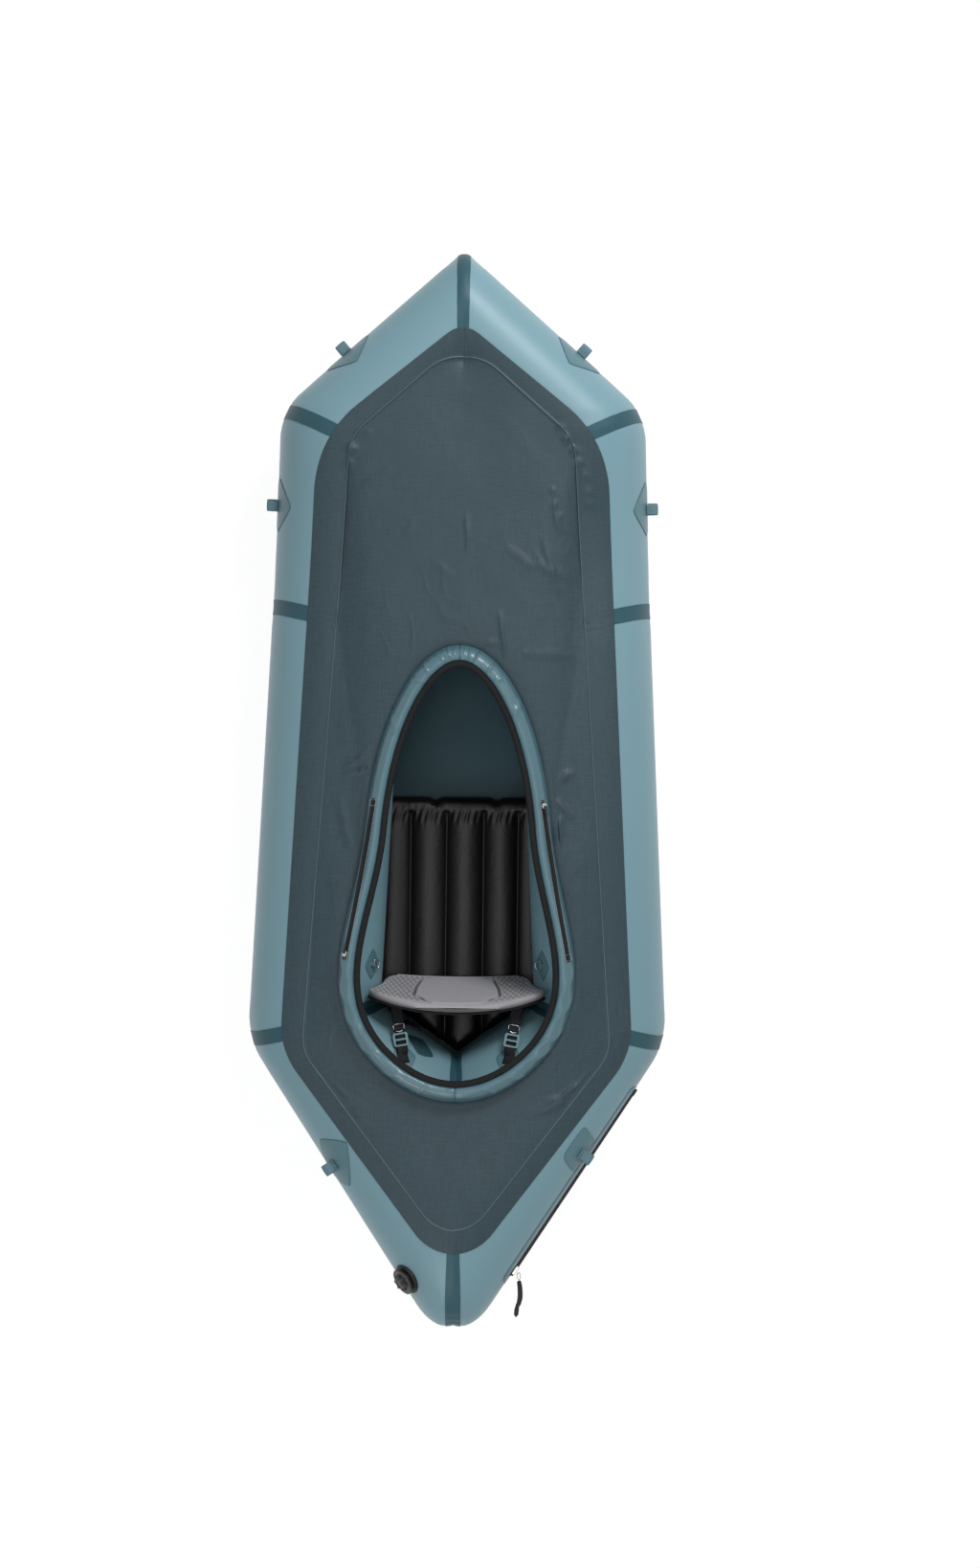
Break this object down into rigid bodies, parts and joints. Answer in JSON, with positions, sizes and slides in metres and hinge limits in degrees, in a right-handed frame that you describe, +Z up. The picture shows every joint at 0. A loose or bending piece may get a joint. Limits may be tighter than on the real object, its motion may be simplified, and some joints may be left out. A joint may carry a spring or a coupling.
{
  "type": "packraft",
  "caption": "Inflatable packraft: a ring of tubes with pointed ends, a floor sheet, a spray deck with a sleeved coaming, a channelled seat mat and a strapped backrest.",
  "frame": {"origin": "middle of the hull's bounding box in plan, on the ground under the flat of the floor", "axes": "+Y to the bow, +X to the right-hand side of a paddler facing the bow, +Z up"},
  "size_m": [0.9406, 2.36, 0.3939],
  "materials": {
    "black_fabric": "woven, matt",
    "black_plastic": "moulded, satin",
    "deck_fabric": "coated nylon, matt",
    "floor_fabric": "heavier coated nylon, matt",
    "grey_foam": "moulded foam with a brushed cover",
    "hull_fabric": "coated nylon, satin",
    "mat_fabric": "coated fabric, matt",
    "metal": "nickel plated",
    "rubber": "moulded, matt",
    "sleeve_fabric": "coated nylon, satin",
    "teal_plastic": "moulded, satin",
    "webbing": "woven webbing"
  },
  "bodies": {
    "hull": {"back_strap_left": "webbing", "back_strap_right": "webbing", "bow_tube_left": "hull_fabric", "bow_tube_right": "hull_fabric", "cargo_zip_chain": "rubber", "cargo_zip_stop": "rubber", "cargo_zip_tape": "floor_fabric", "coaming_rod": "black_plastic", "coaming_sleeve": "sleeve_fabric", "coaming_zip_left": "black_plastic", "coaming_zip_right": "black_plastic", "cockpit_binding": "black_fabric", "hull_floor": "floor_fabric", "ladder_lock_left": "teal_plastic", "ladder_lock_right": "teal_plastic", "seat_pad": "mat_fabric", "side_tube_front_left": "hull_fabric", "side_tube_front_right": "hull_fabric", "side_tube_rear_left": "hull_fabric", "side_tube_rear_right": "hull_fabric", "spray_deck": "deck_fabric", "stern_tube_left": "hull_fabric", "stern_tube_right": "hull_fabric", "strap_anchor_left": "floor_fabric", "strap_anchor_right": "floor_fabric", "strap_ring_front_left": "metal", "strap_ring_front_right": "metal", "strap_ring_rear_left": "metal", "strap_ring_rear_right": "metal", "thigh_patch_left": "floor_fabric", "thigh_patch_right": "floor_fabric", "tie_down_loop_1": "webbing", "tie_down_loop_2": "webbing", "tie_down_loop_3": "webbing", "tie_down_loop_4": "webbing", "tie_down_loop_5": "webbing", "tie_down_loop_6": "webbing", "tie_down_patch_1": "hull_fabric", "tie_down_patch_2": "hull_fabric", "tie_down_patch_3": "hull_fabric", "tie_down_patch_4": "hull_fabric", "tie_down_patch_5": "hull_fabric", "tie_down_patch_6": "hull_fabric", "valve_base": "rubber", "valve_body": "black_plastic", "valve_seal": "rubber", "valve_spring": "metal"},
    "backrest": {"backrest_foam": "grey_foam", "backrest_backing": "black_fabric"},
    "cargo_slider": {"cargo_zip_slider": "metal", "cargo_zip_wire": "metal"},
    "cargo_pull": {"cargo_zip_pull": "rubber"},
    "valve_cap": {"valve_cap": "black_plastic"},
    "valve_plunger": {"valve_plunger": "black_plastic"},
    "sleeve_slider_left": {"coaming_zip_slider_left": "metal"},
    "sleeve_slider_right": {"coaming_zip_slider_right": "metal"},
    "sleeve_pull_left": {"coaming_zip_pull_left": "black_plastic"},
    "sleeve_pull_right": {"coaming_zip_pull_right": "black_plastic"},
    "thigh_ring_left": {"thigh_ring_left": "metal"},
    "thigh_ring_right": {"thigh_ring_right": "metal"}
  },
  "joints": [
    {"name": "backrest_fold", "type": "hinge", "parent": "hull", "child": "backrest", "pos_m": [0, -0.43697, 0.0786], "axis": [1, 0, 0], "range_deg": [-14, 4], "deforming": ["back_strap_left", "back_strap_right"]},
    {"name": "cargo_zip_slide", "type": "slide", "parent": "hull", "child": "cargo_slider", "axis": [0.5587, 0.817, -0.1431], "range_m": [0, 0.451]},
    {"name": "cargo_pull_hinge", "type": "hinge", "parent": "cargo_slider", "child": "cargo_pull", "pos_m": [0.14405, -1.08089, 0.26301], "axis": [1, 0, 0], "range_deg": [-60, 40]},
    {"name": "valve_cap_twist", "type": "hinge", "parent": "hull", "child": "valve_cap", "pos_m": [-0.1011, -1.06953, 0.3156], "axis": [-0.7443, -0.4209, 0.5185], "range_deg": [0, 90]},
    {"name": "valve_plunger_press", "type": "slide", "parent": "hull", "child": "valve_plunger", "axis": [0.7443, 0.4209, -0.5185], "range_m": [0, 0.004], "stiffness_N_per_m": 300, "springref_m": -0.003, "deforming": ["valve_spring"]},
    {"name": "sleeve_zip_run_left", "type": "hinge", "parent": "hull", "child": "sleeve_slider_left", "pos_m": [-3.49987, 0.37966, 3.72977], "axis": [-0.7008, 0.1196, -0.7032], "range_deg": [-3.99, 0]},
    {"name": "sleeve_pull_hinge_left", "type": "hinge", "parent": "sleeve_slider_left", "child": "sleeve_pull_left", "pos_m": [-0.24574, -0.35539, 0.36272], "axis": [0.7593, -0.133, 0.637], "range_deg": [0, 150]},
    {"name": "thigh_ring_hinge_left", "type": "hinge", "parent": "hull", "child": "thigh_ring_left", "pos_m": [-0.18658, -0.38841, 0.22908], "axis": [-0.047, -0.9989, 0], "range_deg": [0, 100]},
    {"name": "sleeve_zip_run_right", "type": "hinge", "parent": "hull", "child": "sleeve_slider_right", "pos_m": [3.49987, 0.37966, 3.72977], "axis": [-0.7008, -0.1196, 0.7032], "range_deg": [0, 3.99]},
    {"name": "sleeve_pull_hinge_right", "type": "hinge", "parent": "sleeve_slider_right", "child": "sleeve_pull_right", "pos_m": [0.18962, -0.03006, 0.36212], "axis": [-0.7603, -0.1268, 0.637], "range_deg": [0, 150]},
    {"name": "thigh_ring_hinge_right", "type": "hinge", "parent": "hull", "child": "thigh_ring_right", "pos_m": [0.18658, -0.38841, 0.22908], "axis": [-0.047, 0.9989, 0], "range_deg": [0, 100]}
  ]
}
